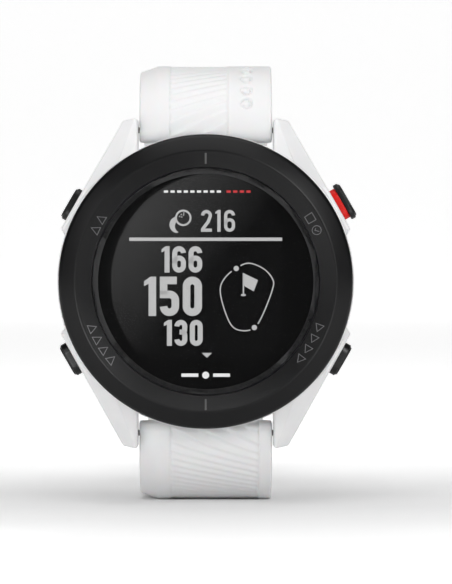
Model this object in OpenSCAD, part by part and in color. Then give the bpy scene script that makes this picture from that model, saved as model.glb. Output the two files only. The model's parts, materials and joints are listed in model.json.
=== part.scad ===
// Golf GPS watch standing on its lower strap half.
// Origin: centre of the flat case back. +X to 3 o'clock, +Y out of the case back, +Z to 12 o'clock.

/* [Case] */
// Diameter of the bezel
bezel_d = 43.7; // [43.3:0.1:44.1]
// Width between the lugs
lug_gap = 20.2; // [20:0.1:20.4]
// Distance from the centre to each spring bar
bar_pitch = 22.7; // [22.6:0.05:22.8]
// Height of the spring bars over the case back
bar_level = 3.2; // [3.1:0.05:3.3]
// Side of the square display
display_side = 22.8; // [22:0.1:23.2]

/* [Buttons] */
// Angle of the buttons above and below 3 o'clock and 9 o'clock
button_angle = 30; // [29:0.5:31]
// Length of a button cap
cap_length = 5.2; // [4.8:0.1:5.4]
// How far a button presses in
button_travel = 0.45; // [0.3:0.05:0.5]

/* [Strap] */
// Width of the strap
strap_w = 19.9; // [19:0.1:20]
// Thickness of the strap
strap_t = 2.6; // [2.4:0.1:2.8]
// Outer radius of the moulded bend of the upper half
upper_bend_r = 10.1; // [10:0.05:10.3]
// Outer radius of the moulded bend of the lower half
lower_bend_r = 10.4; // [10.3:0.05:10.6]
// Number of adjustment slots
slot_count = 15; // [10:1:15]

/* [Hidden] */
$fn = 64;
quads = [[1, 1], [-1, 1], [-1, -1], [1, -1]];
bezel_r = bezel_d / 2;
case_r = bezel_r + 0.2;
seat_z = 8.2;         // where the bezel sits on the case
crest_z = 11.5;       // top of the bezel
cavity_r = 19;
cavity_z = 1.9;
lens_r = 16.8;
lens_z = 9.2;
lens_t = 1.2;
board_z = 5.3;
board_t = 0.8;
board_r = 18;
rear_r = 18.1;        // rear cover
rear_t = 1.3;
screw_r = 15.6;       // distance of the rear screws from the centre
screw_angles = [60, 120, 240, 300];
lower_lug_extra = 0.5;    // the lower lugs reach further than the upper ones

button_z = 4.2;
cap_h = 3.2;
cap_base_r = 21.9;
cap_seat_r = cap_base_r - button_travel - 0.15;    // floor of the button pocket
cap_face_r = 23.7;
low_face_r = 23.95;   // the two lower caps stand a little higher
collar_face_r = 23.6;
ok_face_r = 24.6;
ok_length = cap_length + 0.65;
stem_r = 1;
stem_tip_r = 17.6;
ring_at = 19.8;       // O-ring on the stem
clip_at = 18.45;

tube_r = 0.9;         // spring bar
bar_hole_r = 0.5;
bar_pin_r = 0.45;
heel_r = 1.9;         // rolled end of the strap round its bar
lever_at = 6.6;       // quick-release lever, from the middle of its bar
release_travel = 1.3;
pivot_y = -bar_level;
face_y = pivot_y - heel_r;    // outer face of the strap beside the lugs

upper_slope = 30;     // the upper half ends pointing this far below level
upper_curve_r = 60;
upper_run = 33;
lower_flat = 44;
lower_slope = 64;
lower_curve_r = 50;
buckle_pin_r = 0.75;
buckle_reach = 9.6;
frame_wire_r = 1.1;
slot_w = 5.9;
slot_l = 2.4;
slot_pitch = 5.6;
slot_start = 2.6;      // first slot, from the start of the level run
keeper_wall = 1.5;
keeper_l = 6;

// The head is drawn lying on its back, then stood up.
module head() rotate([90, 0, 0]) children();

// A side outline in Y and Z, pushed out to width w along X.
module across(w) translate([-w / 2, 0, 0]) rotate([90, 0, 90]) linear_extrude(w) children();

module disc(r, h) cylinder(r = r, h = h, $fn = 128);
module ring(ro, ri, h) difference() {
    disc(ro, h);
    translate([0, 0, -1]) disc(ri, h + 2);
}
module stadium(l, h) {
    square([l - h, h], center = true);
    for (s = [-1, 1]) translate([s * (l - h) / 2, 0]) circle(r = h / 2);
}
module chamfered(w, h, c) polygon([[-w / 2 + c, -h / 2], [w / 2 - c, -h / 2], [w / 2, -h / 2 + c],
    [w / 2, h / 2 - c], [w / 2 - c, h / 2], [-w / 2 + c, h / 2], [-w / 2, h / 2 - c], [-w / 2, -h / 2 + c]]);

// A helical spring along +Z, swept as a closed tube.
function coil_ring(r, w, p, a, sides) = [for (k = [0:sides - 1]) let (b = 360 * k / sides)
    [(r + w * cos(b)) * cos(a), (r + w * cos(b)) * sin(a), p * a / 360 + w * sin(b)]];
module coil(r, w, length, turns) {
    sides = 6;
    steps = 12 * turns;
    pts = [for (i = [0:steps]) each coil_ring(r, w, length / turns, 360 * turns * i / steps, sides)];
    walls = [for (i = [0:steps - 1], k = [0:sides - 1])
        let (a = i * sides + k, b = i * sides + (k + 1) % sides) [a, a + sides, b + sides, b]];
    ends = [[for (k = [0:sides - 1]) k], [for (k = [sides - 1:-1:0]) steps * sides + k]];
    polyhedron(pts, concat(walls, ends));
}

/* ---- Case and its outer pieces ---- */

// One quarter of the lugs: a lug and the boss of the button beside it, as one rounded block.
module lug(sx, sy) {
    round_r = 0.5;
    outline = [
        [10.1, 24.45, 0.9], [10.1, 24.45, 5.3], [12.55, 24.15, 1.3], [12.55, 24.15, 4.6],
        [13.1, 23.2, 4.7], [10.1, 17, 8.15], [13.7, 17.7, 8.15], [10.1, 16, 0.5],
        [18.15, 14.3, 1.4], [18.15, 14.3, 6.9], [21.55, 8.35, 2], [21.55, 8.35, 6.9],
        [20.8, 7.1, 1.7], [20.8, 7.1, 7.4], [14, 8, 0.5], [14, 8, 8.15]];
    longer = sy < 0 ? lower_lug_extra : 0;
    mirror([sx < 0 ? 1 : 0, 0, 0]) mirror([0, sy < 0 ? 1 : 0, 0]) hull()
        for (p = outline) translate([max(p.x - round_r, lug_gap / 2 + round_r),
            p.y - round_r + (p.y > 20 ? longer : 0), min(max(p.z, round_r), seat_z - round_r)])
            sphere(r = round_r, $fn = 16);
}

module at_button(q) rotate([0, 0, q[0] > 0 ? q[1] * button_angle : 180 - q[1] * button_angle])
    rotate([0, 90, 0]) rotate([0, 0, 90]) translate([0, button_z, 0]) children();

module case() color("white") head() {
    difference() {
        union() {
            rotate_extrude($fn = 128) polygon([[0, 0], [20.4, 0], [21.4, 0.7], [case_r, 2.6],
                [case_r, seat_z], [0, seat_z]]);
            for (q = quads) lug(q[0], q[1]);
        }
        translate([0, 0, cavity_z]) disc(cavity_r, 10);
        translate([0, 0, 7]) disc(20.35, 5);
        translate([0, 0, -1]) disc(16.8, 5);
        translate([0, 0, -1]) disc(rear_r + 0.05, 1 + rear_t);
        translate([0, 0, rear_t - 0.1]) ring(18.05, 17.63, 0.45);
        for (s = [-1, 1]) {
            translate([-lug_gap / 2, s * bar_pitch, bar_level]) rotate([0, 90, 0])
                cylinder(r = heel_r + 0.4, h = lug_gap);
            translate([-lug_gap / 2, s * (bar_pitch + 1.4) - 2, -1]) cube([lug_gap, 4, 7.9]);
            translate([-lug_gap / 2 - 1.3, s * bar_pitch, bar_level]) rotate([0, 90, 0])
                cylinder(r = bar_hole_r, h = lug_gap + 2.6);
        }
        for (q = quads) at_button(q) {
            translate([0, 0, 17]) cylinder(r = stem_r + 0.05, h = 6);
            translate([0, 0, 20.6]) cylinder(r = 1.7, h = 3);
            translate([0, 0, cap_seat_r]) linear_extrude(4) stadium(cap_length + 0.3, cap_h + 0.3);
        }
    }
    for (a = screw_angles) difference() {
        translate([screw_r * cos(a), screw_r * sin(a), rear_t]) cylinder(r = 1.95, h = 3.4);
        translate([screw_r * cos(a), screw_r * sin(a), rear_t - 1]) cylinder(r = 0.7, h = 6);
    }
}

module bezel() color([0.09, 0.09, 0.1]) head() rotate_extrude($fn = 160) polygon([
    [15.9, 8.2], [15.9, 9], [lens_r + 0.05, 9], [lens_r + 0.05, 10.45], [19.1, 11.44], [19.3, crest_z],
    [19.5, 11.44], [21.5, 10.25], [bezel_r, 9.8], [bezel_r, 8.35], [21.7, seat_z], [20.3, seat_z],
    [20.3, 7.45], [19.2, 7.45], [19.2, 8.2]]);

module bezel_seal() color([0.15, 0.15, 0.15]) head() translate([0, 0, 7]) ring(20.3, 19.2, 0.45);
module lens() color([0.6, 0.7, 0.8, 0.35]) head() translate([0, 0, lens_z]) {
    disc(lens_r, lens_t - 0.15);
    translate([0, 0, lens_t - 0.15]) cylinder(r1 = lens_r, r2 = lens_r - 0.15, h = 0.15, $fn = 128);
}
module lens_gasket() color([0.1, 0.1, 0.1]) head() translate([0, 0, 9]) ring(lens_r, 16, 0.2);
module lens_mask() color([0.02, 0.02, 0.02]) head() translate([0, 0, 9.1]) difference() {
    disc(15.95, 0.1);
    translate([0, 0, -1]) linear_extrude(3) chamfered(display_side, display_side, 2.9);
}
module display_module() color([0.2, 0.22, 0.2]) head() translate([0, 0, 8]) linear_extrude(1.1)
    chamfered(25.4, 26.4, 4.4);
module light_guide() color([0.85, 0.88, 0.9]) head() translate([0, 0, 7.5]) linear_extrude(0.5)
    chamfered(25, 26, 4.3);

module rear_cover() color([0.13, 0.13, 0.14]) head() difference() {
    union() {
        rotate_extrude($fn = 128) polygon([[0, 0], [17.8, 0], [rear_r, 0.3], [rear_r, rear_t], [0, rear_t]]);
        translate([0, 0, rear_t]) difference() {
            disc(16.7, 0.3);
            for (a = screw_angles) translate([screw_r * cos(a), screw_r * sin(a), -1])
                cylinder(r = 2.1, h = 3);
        }
    }
    for (a = screw_angles) translate([screw_r * cos(a), screw_r * sin(a), -1]) {
        cylinder(r = 1.4, h = 1.7);
        cylinder(r = 0.75, h = 4);
    }
    translate([0, -8, -1]) linear_extrude(1.8) stadium(12.4, 5.2);
    translate([0, -8, -1]) linear_extrude(4) stadium(10.4, 3.2);
}
module rear_cover_gasket() color([0.1, 0.1, 0.1]) head() translate([0, 0, rear_t]) ring(18, 17.68, 0.35);
module rear_screws() color("silver") head() for (a = screw_angles)
    translate([screw_r * cos(a), screw_r * sin(a), 0.1]) difference() {
        union() {
            cylinder(r = 1.3, h = 0.6);
            cylinder(r = 0.65, h = 4);
        }
        for (b = [0, 60, 120]) rotate([0, 0, b]) translate([-0.6, -0.16, -1]) cube([1.2, 0.32, 1.35]);
    }
module contact_block() color([0.08, 0.08, 0.08]) head() translate([0, -8, 0.8]) difference() {
    linear_extrude(1.1) stadium(10.3, 3.1);
    for (i = [-1.5:1:1.5]) translate([i * 2.3, 0, -1]) cylinder(r = 0.72, h = 4);
}
module charging_contacts() color("gold") head() for (i = [-1.5:1:1.5]) translate([i * 2.3, -8, 0.75]) {
    cylinder(r = 0.7, h = 1.15);
}

/* ---- Inside ---- */

module inner_frame() color([0.75, 0.75, 0.76]) head() translate([0, 0, board_z + board_t]) difference() {
    union() {
        disc(17.2, 1.4);
        ring(18.7, 15, 0.9);
    }
    translate([0, 0, -1]) linear_extrude(1.9) chamfered(24, 22, 4);
    translate([-11, -10, -1]) cube([22, 9, 4]);
    translate([-5, -15.8, -1]) cube([10, 4, 4]);
}
module gps_antenna() color([0.75, 0.55, 0.3]) head() translate([0, 0, 7]) difference() {
    ring(18.7, 17.3, 0.4);
    translate([-30, -30, -1]) cube([60, 22, 3]);
}
module main_board() color([0.1, 0.3, 0.15]) head() translate([0, 0, board_z]) difference() {
    disc(board_r, board_t);
    translate([-4.5, -20, -1]) cube([9, 4.8, 3]);
}
module processor_shield() color("silver") head() translate([-7, 1, board_z + board_t]) linear_extrude(0.8)
    chamfered(8, 9, 0.5);
module radio_shield() color("silver") head() translate([6, 3, board_z + board_t]) linear_extrude(0.8)
    chamfered(9, 8, 0.5);
module battery() color([0.7, 0.7, 0.72]) head() translate([-11, -10, 2.2]) difference() {
    cube([22, 20, 2.9]);
    for (x = [0, 22], y = [0, 20]) translate([x, y, -1]) rotate([0, 0, 45])
        cube([1.4, 1.4, 12], center = true);
}
module battery_pad() color([0.9, 0.85, 0.3]) head() translate([-10, -9, rear_t + 0.3]) difference() {
    cube([20, 18, 0.6]);
    translate([3.8, -1, -1]) cube([12.4, 5.4, 3]);
}
module battery_lead() color([0.8, 0.45, 0.1]) head() {
    translate([-3, 10, 3]) cube([1.6, 0.25, 2.3]);
    translate([-3, 9.75, 5.1]) cube([1.6, 0.5, 0.2]);
}
module vibration_motor() color("silver") head() translate([0, 14.4, 2.5]) cylinder(r = 3.9, h = 2.8);
module display_flex() color([0.8, 0.45, 0.1]) head() {
    translate([-4, -14.4, 6.1]) cube([8, 2, 0.12]);
    translate([-4, -13.6, 6.1]) cube([8, 0.12, 2]);
    translate([-4, -13.6, 7.88]) cube([8, 0.6, 0.12]);
}
module tact_switches() color([0.3, 0.3, 0.3]) head() for (q = quads) at_button(q) {
    translate([-2, -0.9, 14.8]) cube([4, 2, 1.8]);
    translate([0, 0, 16.6]) cylinder(r = 0.6, h = 0.5);
}

/* ---- Buttons ---- */

// A cap with its stem, drawn along +Z from the middle of the watch outwards.
module button(base, face, length = cap_length) {
    crown = 0.25;
    translate([0, 0, base]) linear_extrude(face - base - crown) stadium(length, cap_h);
    translate([0, 0, face - crown]) linear_extrude(crown) stadium(length - 0.5, cap_h - 0.5);
    difference() {
        translate([0, 0, stem_tip_r]) cylinder(r = stem_r, h = base - stem_tip_r);
        for (g = [[ring_at, 0.44], [clip_at, 0.3]]) translate([0, 0, g[0]]) difference() {
            cylinder(r = stem_r + 1, h = g[1]);
            translate([0, 0, -1]) cylinder(r = 0.6, h = g[1] + 2);
        }
    }
}
module button_ring() translate([0, 0, ring_at + 0.01]) difference() {
    cylinder(r = stem_r + 0.03, h = 0.42);
    translate([0, 0, -1]) cylinder(r = 0.6, h = 3);
}
module button_clip() translate([0, 0, clip_at]) difference() {
    cylinder(r = 1.6, h = 0.3);
    translate([0, 0, -1]) cylinder(r = 0.6, h = 3);
    translate([-0.4, 0, -1]) cube([0.8, 3, 3]);
}
module up_button() color([0.1, 0.1, 0.1]) head() at_button(quads[1]) button(cap_base_r, cap_face_r);
module down_button() color([0.1, 0.1, 0.1]) head() at_button(quads[2]) button(cap_base_r, low_face_r);
module back_button() color([0.1, 0.1, 0.1]) head() at_button(quads[3]) button(cap_base_r, low_face_r);
module ok_button() color([0.1, 0.1, 0.1]) head() at_button(quads[0])
    button(collar_face_r, ok_face_r, ok_length);
module ok_collar() color("red") head() at_button(quads[0]) translate([0, 0, cap_base_r]) difference() {
    linear_extrude(collar_face_r - cap_base_r) stadium(cap_length - 0.25, cap_h - 0.2);
    translate([0, 0, -1]) cylinder(r = stem_r, h = 4);
}
module up_button_ring() color([0.2, 0.2, 0.2]) head() at_button(quads[1]) button_ring();
module down_button_ring() color([0.2, 0.2, 0.2]) head() at_button(quads[2]) button_ring();
module back_button_ring() color([0.2, 0.2, 0.2]) head() at_button(quads[3]) button_ring();
module ok_button_ring() color([0.2, 0.2, 0.2]) head() at_button(quads[0]) button_ring();
module up_button_clip() color("silver") head() at_button(quads[1]) button_clip();
module down_button_clip() color("silver") head() at_button(quads[2]) button_clip();
module back_button_clip() color("silver") head() at_button(quads[3]) button_clip();
module ok_button_clip() color("silver") head() at_button(quads[0]) button_clip();
// The return springs are drawn at their pressed length.
module button_springs() color("silver") head() for (q = quads) at_button(q)
    translate([0, 0, 20.72]) coil(1.38, 0.1, 0.58, 3);

/* ---- Straps ---- */

// A stretch of strap round a centre c, its middle at radius r, from angle a0 to a1 (up to 90 degrees).
module bend(c, r, a0, a1) translate(c) intersection() {
    difference() {
        circle(r = r + strap_t / 2, $fn = 128);
        circle(r = r - strap_t / 2, $fn = 128);
    }
    polygon([[0, 0], for (a = [a0, (a0 + a1) / 2, a1]) 2 * r * [cos(a), sin(a)]]);
}
// A straight stretch of strap from a to b.
module run(a, b) {
    side = strap_t / 2 * [a.y - b.y, b.x - a.x] / norm(b - a);
    polygon([a + side, b + side, b - side, a - side]);
}

// The upper half: a quarter bend over the bar, a long curve, and a straight end to the buckle.
upper_y0 = face_y + upper_bend_r;
upper_top = bar_pitch + upper_bend_r - strap_t / 2;
upper_mid = [upper_y0, upper_top - upper_curve_r];
upper_dir = [cos(upper_slope), -sin(upper_slope)];
upper_start = upper_mid + upper_curve_r * [sin(upper_slope), cos(upper_slope)];
upper_end = upper_start + upper_run * upper_dir;              // the buckle pin
module upper_body() {
    across(strap_w) bend([upper_y0, bar_pitch], upper_bend_r - strap_t / 2, 90, 180);
    across(strap_w) bend(upper_mid, upper_curve_r, 90 - upper_slope, 90);
    across(strap_w) run(upper_start, upper_end);
    across(strap_w) translate(upper_end) circle(r = 1.7);
    across(strap_w) translate([pivot_y, bar_pitch]) circle(r = heel_r);
}

// The lower half: a quarter bend under the bar, a level run on the table, and a curve up.
lower_y0 = face_y + lower_bend_r;
lower_level = -bar_pitch - lower_bend_r + strap_t / 2;
lower_mid = [lower_y0 + lower_flat, lower_level + lower_curve_r];
lower_arc = PI * lower_curve_r * lower_slope / 180;
module lower_body() {
    across(strap_w) bend([lower_y0, -bar_pitch], lower_bend_r - strap_t / 2, 180, 270);
    across(strap_w) run([lower_y0, lower_level], [lower_y0 + lower_flat, lower_level]);
    across(strap_w) bend(lower_mid, lower_curve_r, 270, 270 + lower_slope);
    across(strap_w) translate([pivot_y, -bar_pitch]) circle(r = heel_r);
}

// A frame on the upper half: +X across, +Y along the strap to the buckle, +Z out of its outer face.
module on_upper(along) translate([0, upper_end[0] + along * upper_dir[0], upper_end[1] + along * upper_dir[1]])
    rotate([-upper_slope, 0, 0]) children();

// A frame on the centre line of the lower half, a distance s behind the start of its level run.
module on_lower(s) {
    turn = max(s - lower_flat, 0) * lower_slope / lower_arc;
    p = s < lower_flat ? [lower_y0 + s, lower_level]
        : lower_mid + lower_curve_r * [sin(turn), -cos(turn)];
    translate([0, p[0], p[1]]) rotate([turn, 0, 0]) children();
}

// Room for the quick-release lever on the wrist side of each half.
module release_slot(s) translate([lever_at - release_travel - 2.1, pivot_y, s * bar_pitch - 0.75])
    cube([release_travel + 3.3, 4, 1.5]);

module upper_strap() color("white") difference() {
    upper_body();
    translate([-20, pivot_y, bar_pitch]) rotate([0, 90, 0]) cylinder(r = tube_r + 0.02, h = 40);
    release_slot(1);
    translate([-20, upper_end[0], upper_end[1]]) rotate([0, 90, 0]) cylinder(r = buckle_pin_r + 0.03, h = 40);
    on_upper(0) translate([-2.6, -2.6, -4]) cube([5.2, 6, 8]);
}
module lower_strap() color("white") difference() {
    lower_body();
    translate([-20, pivot_y, -bar_pitch]) rotate([0, 90, 0]) cylinder(r = tube_r + 0.02, h = 40);
    release_slot(-1);
    for (i = [0:slot_count - 1]) on_lower(slot_start + i * slot_pitch) translate([0, 0, -4])
        linear_extrude(8) stadium(slot_w, slot_l);
}

// Spring bar: a tube with one fixed end pin, hollow where the moving pin slides.
module spring_bar() {
    difference() {
        translate([-9.75, 0, 0]) rotate([0, 90, 0]) cylinder(r = tube_r, h = 19.5);
        translate([0.2, 0, 0]) rotate([0, 90, 0]) cylinder(r = bar_pin_r + 0.05, h = 12);
        translate([3.4, 0, -0.45]) cube([4.2, 3, 0.9]);
    }
    translate([-11.2, 0, 0]) rotate([0, 90, 0]) cylinder(r = bar_pin_r, h = 2);
}
module release_pin() {
    translate([4.4, 0, 0]) rotate([0, 90, 0]) cylinder(r = bar_pin_r, h = 6.8);
    translate([lever_at, 0, 0]) rotate([-90, 0, 0]) cylinder(r = 0.4, h = 2.6);
    translate([lever_at, 2.1, 0]) rotate([-90, 0, 0]) cylinder(r = 0.65, h = 0.9);
}
module at_bar(s) translate([0, pivot_y, s * bar_pitch]) children();
module upper_spring_bar() color("silver") at_bar(1) spring_bar();
module lower_spring_bar() color("silver") at_bar(-1) spring_bar();
module upper_release_pin() color("silver") at_bar(1) release_pin();
module lower_release_pin() color("silver") at_bar(-1) release_pin();
// The release springs are drawn at their compressed length.
module release_spring() translate([0.35, 0, 0]) rotate([0, 90, 0]) coil(0.34, 0.08, 2.5, 6);
module upper_release_spring() color("silver") at_bar(1) release_spring();
module lower_release_spring() color("silver") at_bar(-1) release_spring();

/* ---- Buckle and keepers ---- */

frame_in = 10.5;      // half the inner width of the buckle frame
module buckle_frame() color("silver") on_upper(0) difference() {
    union() {
        for (s = [-1, 1]) {
            translate([s * (frame_in + frame_wire_r) - frame_wire_r, 0, -1.3])
                cube([2 * frame_wire_r, buckle_reach, 2.6]);
            translate([s * (frame_in + frame_wire_r) - frame_wire_r, 0, 0]) rotate([0, 90, 0])
                cylinder(r = 1.3, h = 2 * frame_wire_r);
        }
        translate([-frame_in - 2 * frame_wire_r, buckle_reach, 0]) rotate([0, 90, 0])
            cylinder(r = 1.3, h = 2 * frame_in + 4 * frame_wire_r);
    }
    translate([-frame_in - 1.2, 0, 0]) rotate([0, 90, 0])
        cylinder(r = buckle_pin_r + 0.05, h = 2 * frame_in + 2.4);
}
module buckle_pin() color("silver") on_upper(0) translate([-frame_in - 1, 0, 0]) rotate([0, 90, 0])
    cylinder(r = buckle_pin_r, h = 2 * frame_in + 2);
module buckle_tongue() color("silver") on_upper(0) difference() {
    union() {
        translate([-2.2, 0, 0]) rotate([0, 90, 0]) cylinder(r = 1.55, h = 4.4);
        translate([-2.2, 0, 0.35]) cube([4.4, 6.6, 1.2]);
        translate([-2.2, 6, 1.45]) cube([4.4, 5, 1]);
        translate([-2.2, 6, 0.35]) cube([4.4, 0.9, 2.1]);
    }
    translate([-5, 0, 0]) rotate([0, 90, 0]) cylinder(r = buckle_pin_r + 0.05, h = 10);
}
// A closed loop round the upper half with room for the free end above it.
module keeper(gap) {
    room = [strap_w + 0.6, keeper_l, strap_t * 2 + 0.5 + gap];
    translate([0, 0, -strap_t / 2 - gap]) difference() {
        translate([-room.x / 2 - keeper_wall, 0, -keeper_wall])
            cube([room.x + 2 * keeper_wall, room.y, room.z + 2 * keeper_wall]);
        translate([-room.x / 2, -1, 0]) cube([room.x, room.y + 2, room.z]);
    }
}
module fixed_keeper() color("white") on_upper(-11.5) keeper(0);
module free_keeper() color("white") on_upper(-19.5) keeper(0.1);

bezel();
lens();
lens_gasket();
lens_mask();
display_module();
light_guide();
display_flex();
inner_frame();
gps_antenna();
main_board();
processor_shield();
radio_shield();
battery();
battery_pad();
battery_lead();
vibration_motor();
case();
bezel_seal();
rear_cover();
rear_cover_gasket();
rear_screws();
contact_block();
charging_contacts();
tact_switches();
button_springs();
up_button();
down_button();
back_button();
ok_button();
ok_collar();
up_button_ring();
down_button_ring();
back_button_ring();
ok_button_ring();
up_button_clip();
down_button_clip();
back_button_clip();
ok_button_clip();
upper_strap();
lower_strap();
upper_spring_bar();
lower_spring_bar();
upper_release_pin();
lower_release_pin();
upper_release_spring();
lower_release_spring();
buckle_frame();
buckle_pin();
buckle_tongue();
fixed_keeper();
free_keeper();
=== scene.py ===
import json
import math
import bmesh
import bpy
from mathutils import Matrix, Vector


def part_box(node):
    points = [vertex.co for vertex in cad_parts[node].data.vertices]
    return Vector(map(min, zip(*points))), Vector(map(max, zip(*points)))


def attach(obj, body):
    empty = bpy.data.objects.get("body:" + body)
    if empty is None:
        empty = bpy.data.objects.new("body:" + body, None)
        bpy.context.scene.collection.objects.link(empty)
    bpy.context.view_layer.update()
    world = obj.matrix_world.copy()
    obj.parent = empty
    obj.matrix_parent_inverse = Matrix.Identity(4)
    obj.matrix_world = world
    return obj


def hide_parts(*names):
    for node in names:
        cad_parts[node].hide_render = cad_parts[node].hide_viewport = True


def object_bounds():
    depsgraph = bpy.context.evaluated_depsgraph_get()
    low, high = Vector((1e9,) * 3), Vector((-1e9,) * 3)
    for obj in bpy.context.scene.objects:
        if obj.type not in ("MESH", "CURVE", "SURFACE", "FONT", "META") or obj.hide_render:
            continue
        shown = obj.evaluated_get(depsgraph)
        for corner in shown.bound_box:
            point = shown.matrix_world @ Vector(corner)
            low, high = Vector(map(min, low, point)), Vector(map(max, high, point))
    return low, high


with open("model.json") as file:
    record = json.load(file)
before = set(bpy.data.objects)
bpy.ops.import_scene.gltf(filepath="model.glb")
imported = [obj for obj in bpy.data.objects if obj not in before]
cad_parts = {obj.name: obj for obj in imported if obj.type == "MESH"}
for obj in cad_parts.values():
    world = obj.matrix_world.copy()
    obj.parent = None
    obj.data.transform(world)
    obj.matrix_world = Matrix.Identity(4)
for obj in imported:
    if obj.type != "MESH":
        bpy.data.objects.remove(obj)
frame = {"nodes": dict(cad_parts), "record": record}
cadLow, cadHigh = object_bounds()
mm = 0.001
print("frame loaded", len(frame["nodes"]), "nodes")


view = {
    "distance": 0.51,               # from the front of the bezel
    "sensor": 36.0,
    "lens": 274.953,                # long, so that the watch fills the frame
    "shift": (0.04491, -0.02323),   # the watch stands a little left of the middle and high
}


def makeCamera(v):
    data = bpy.data.cameras.new("camera")
    data.sensor_fit = "HORIZONTAL"
    data.sensor_width = v["sensor"]
    data.lens = v["lens"]
    data.shift_x, data.shift_y = v["shift"]
    data.clip_start = 0.01
    cam = bpy.data.objects.new("camera", data)
    cam.location = (0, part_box("bezel")[0].y - v["distance"], 0)
    cam.rotation_euler = (math.pi / 2, 0, 0)
    bpy.context.collection.objects.link(cam)
    bpy.context.scene.camera = cam


makeCamera(view)


def areaLight(name, place, size, power):
    # a soft lamp that points at the middle of the watch back
    data = bpy.data.lights.new(name, "AREA")
    data.shape = "RECTANGLE"
    data.size, data.size_y = size
    data.energy = power
    lamp = bpy.data.objects.new(name, data)
    lamp.location = place
    lamp.rotation_euler = (-Vector(place)).to_track_quat("-Z", "Y").to_euler()
    bpy.context.collection.objects.link(lamp)
    return lamp


class Link:
    # one output of a node, so that sums on it read as plain Python
    def __init__(self, tree, out):
        self.tree, self.out = tree, out

    def sum(self, kind, other, swapped=False):
        node = self.tree.nodes.new("ShaderNodeMath")
        node.operation = kind
        for place, value in enumerate((other, self) if swapped else (self, other)):
            plug(self.tree, node.inputs[place], value)
        return Link(self.tree, node.outputs[0])

    def __add__(self, other):
        return self.sum("ADD", other)

    def __radd__(self, other):
        return self.sum("ADD", other, True)

    def __sub__(self, other):
        return self.sum("SUBTRACT", other)

    def __rsub__(self, other):
        return self.sum("SUBTRACT", other, True)

    def __mul__(self, other):
        return self.sum("MULTIPLY", other)

    def __rmul__(self, other):
        return self.sum("MULTIPLY", other, True)

    def __truediv__(self, other):
        return self.sum("DIVIDE", other)

    def __mod__(self, other):
        return self.sum("FLOORED_MODULO", other)

    def __gt__(self, other):
        return self.sum("GREATER_THAN", other)

    def __lt__(self, other):
        return self.sum("LESS_THAN", other)


def plug(tree, socket, value):
    if isinstance(value, Link):
        tree.links.new(value.out, socket)
    elif value is not None:
        socket.default_value = value


def addNode(tree, kind, settings=None, values=None, out=0):
    node = tree.nodes.new(kind)
    for key, value in (settings or {}).items():
        setattr(node, key, value)
    for key, value in (values or {}).items():
        plug(tree, node.inputs[key], value)
    return Link(tree, node.outputs[out])


class Finish:
    # a material with one Principled shader
    def __init__(self, name, **fixed):
        self.material = bpy.data.materials.new(name)
        self.material.use_nodes = True
        self.tree = self.material.node_tree
        self.tree.nodes.clear()
        self.shader = self.tree.nodes.new("ShaderNodeBsdfPrincipled")
        self.end = self.tree.nodes.new("ShaderNodeOutputMaterial")
        self.tree.links.new(self.shader.outputs[0], self.end.inputs["Surface"])
        self.place = self.node("ShaderNodeTexCoord", out=3)
        for key, value in fixed.items():
            self.set(key, value)

    def node(self, kind, settings=None, values=None, out=0):
        return addNode(self.tree, kind, settings, values, out)

    def set(self, socket, value):
        if isinstance(value, tuple) and len(value) == 3 and "Color" in socket:
            value = (*value, 1)
        plug(self.tree, self.shader.inputs[socket.replace("_", " ")], value)

    def noise(self, size, detail=3.0, at=None):
        return self.node("ShaderNodeTexNoise", None, {
            "Vector": at or self.place, "Scale": 1 / (size * mm), "Detail": detail})

    def axis(self, which):
        node = self.tree.nodes.new("ShaderNodeSeparateXYZ")
        plug(self.tree, node.inputs[0], self.place)
        return Link(self.tree, node.outputs["XYZ".index(which)])

    def stretch(self, scale):
        return self.node("ShaderNodeMapping", None, {"Vector": self.place, "Scale": scale})

    def blend(self, factor, a, b):
        node = self.tree.nodes.new("ShaderNodeMix")
        node.data_type = "RGBA"
        plug(self.tree, node.inputs[0], factor)
        plug(self.tree, node.inputs[6], a if isinstance(a, Link) else (*a, 1))
        plug(self.tree, node.inputs[7], b if isinstance(b, Link) else (*b, 1))
        return Link(self.tree, node.outputs[2])

    def relief(self, height, depth, strength=1.0):
        self.set("Normal", self.node("ShaderNodeBump", None, {
            "Height": height, "Distance": depth * mm, "Strength": strength}))


def scaled(colour, by):
    return tuple(min(1, c * by) for c in colour)


def mouldedFinish(name, colour, rough, grain=0.12, depth=0.004, spread=0.06, coat=0.0, **more):
    # injection moulded polymer: fine spark-eroded grain, faint flow marks, rubbed patches
    f = Finish(name, Coat_Weight=coat, **more)
    fine = f.noise(grain, 2)
    flow = f.noise(7, 4, f.stretch((1, 1, 2.2)))
    rubbed = f.noise(2.4, 5)
    f.set("Base Color", f.blend(flow, scaled(colour, 0.95), scaled(colour, 1.04)))
    f.set("Roughness", rough - spread / 2 + spread * rubbed)
    f.relief(fine * 0.7 + rubbed * 0.3, depth)
    return f.material


def turnedFinish(name, colour, rough, inner, outer, pitch=0.06, depth=0.012):
    # satin polymer from a turned mould: grooves too fine to see run round between two radii
    f = Finish(name, Specular_IOR_Level=0.22)
    grain = f.noise(0.1, 2)
    rubbed = f.noise(2.4, 5)
    x, z = f.axis("X"), f.axis("Z")
    radius = (x * x + z * z).sum("SQRT", 0.0) / mm
    turned = (radius > inner) * (radius < outer)
    groove = (radius * (2 * math.pi / pitch)).sum("SINE", 0.0) * 0.5 + 0.5
    f.set("Base Color", f.blend(rubbed, scaled(colour, 0.93), scaled(colour, 1.05)))
    f.set("Roughness", rough - 0.03 + 0.06 * rubbed)
    f.relief(groove * turned + grain * 0.12, depth)
    return f.material


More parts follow.
